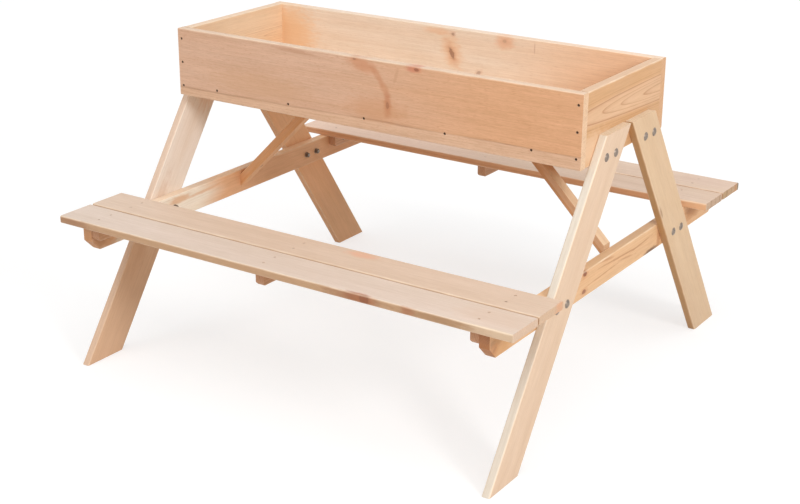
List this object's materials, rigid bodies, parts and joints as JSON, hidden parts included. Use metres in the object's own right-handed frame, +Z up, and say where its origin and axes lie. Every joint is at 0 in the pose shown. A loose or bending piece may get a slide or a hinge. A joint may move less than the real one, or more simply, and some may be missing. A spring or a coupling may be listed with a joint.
{
  "type": "picnic table with sandbox",
  "caption": "Low timber picnic table for children: an open box for sand as its top, on splayed legs, with a slatted bench along each side.",
  "frame": {"origin": "on the ground, under the middle of the tub", "axes": "+X along the tub and the benches, towards the end that faces the camera's right; +Y from the front bench to the back one; +Z up"},
  "size_m": [0.996, 0.942, 0.62],
  "materials": {
    "softwood_peach": "planed, bare softwood",
    "softwood_tan": "planed, bare softwood",
    "softwood_pale": "planed, bare softwood",
    "plywood": "sanded",
    "zinc_steel": "zinc plated",
    "nail_steel": "dull"
  },
  "bodies": {
    "root": {"tub_front_board": "softwood_peach", "tub_back_board": "softwood_peach", "tub_left_end": "softwood_peach", "tub_right_end": "softwood_peach", "cross_rail_left": "softwood_peach", "cross_rail_right": "softwood_peach", "leg_front_left": "softwood_tan", "leg_front_right": "softwood_tan", "leg_back_left": "softwood_tan", "leg_back_right": "softwood_tan", "brace_left": "softwood_tan", "brace_right": "softwood_tan", "batten_front_left": "softwood_tan", "batten_front_mid": "softwood_tan", "batten_front_right": "softwood_tan", "batten_back_left": "softwood_tan", "batten_back_mid": "softwood_tan", "batten_back_right": "softwood_tan", "seat_front_outer_board": "softwood_pale", "seat_front_inner_board": "softwood_pale", "seat_back_inner_board": "softwood_pale", "seat_back_outer_board": "softwood_pale", "tub_floor": "plywood", "carriage_bolts": "zinc_steel", "bolt_washers": "zinc_steel", "bolt_nuts": "zinc_steel", "batten_screws": "zinc_steel", "tub_nails": "nail_steel", "floor_nails": "nail_steel", "seat_nails": "nail_steel", "brace_nails": "nail_steel"}
  },
  "joints": []
}
